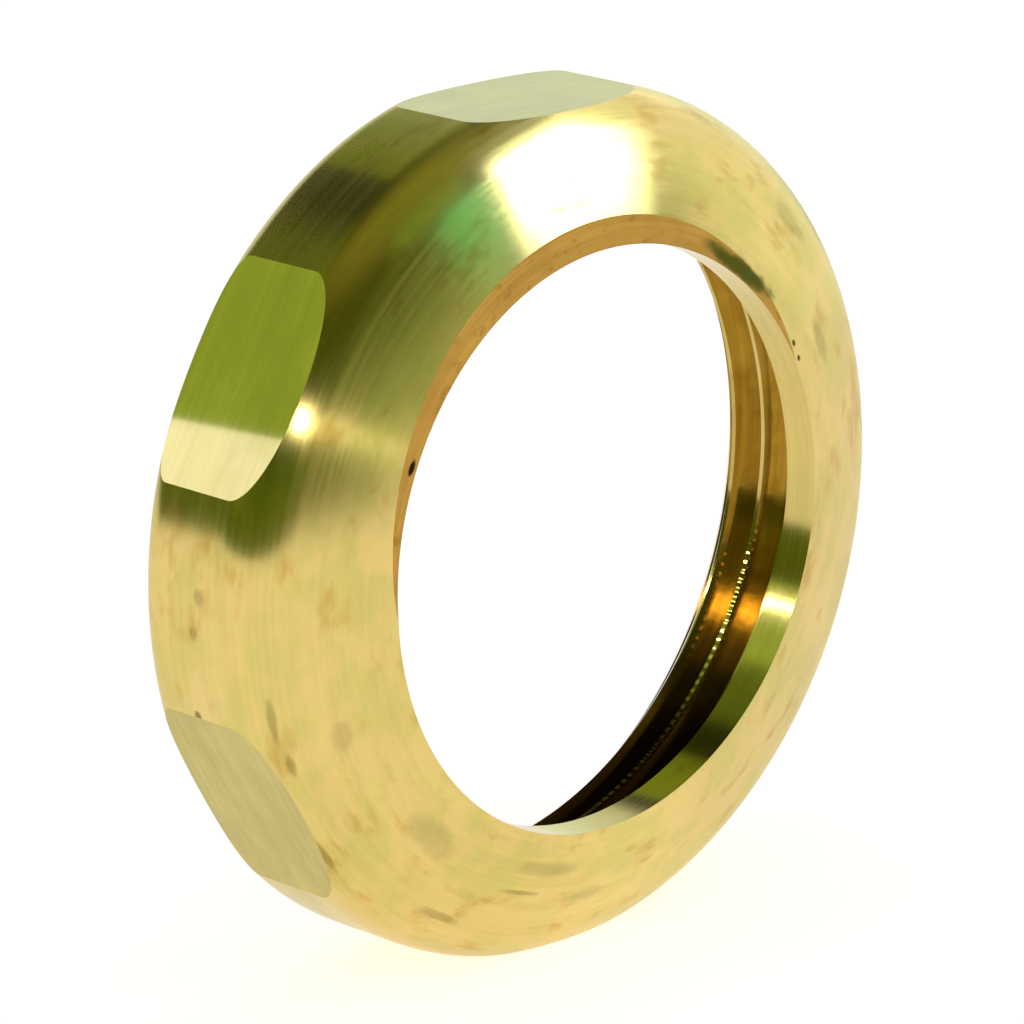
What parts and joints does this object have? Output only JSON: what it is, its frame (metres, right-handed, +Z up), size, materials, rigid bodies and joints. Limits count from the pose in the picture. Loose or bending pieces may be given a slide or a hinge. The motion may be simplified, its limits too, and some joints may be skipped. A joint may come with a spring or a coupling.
{
  "type": "tailpiece nut",
  "caption": "Turned brass tailpiece nut with a crowned front, a plain tube hole, milled spanner flats and an open threaded end.",
  "frame": {"origin": "middle of the nut's footprint, on the surface under the flat that it stands on", "axes": "Y is the nut's axis: the threaded open end faces +Y and the crowned front faces -Y. Z is up, square to the flat it stands on"},
  "size_m": [0.048, 0.0114, 0.0464],
  "materials": {
    "brass": "turned and polished, lightly stained"
  },
  "bodies": {
    "root": {"nut": "brass"}
  },
  "joints": []
}
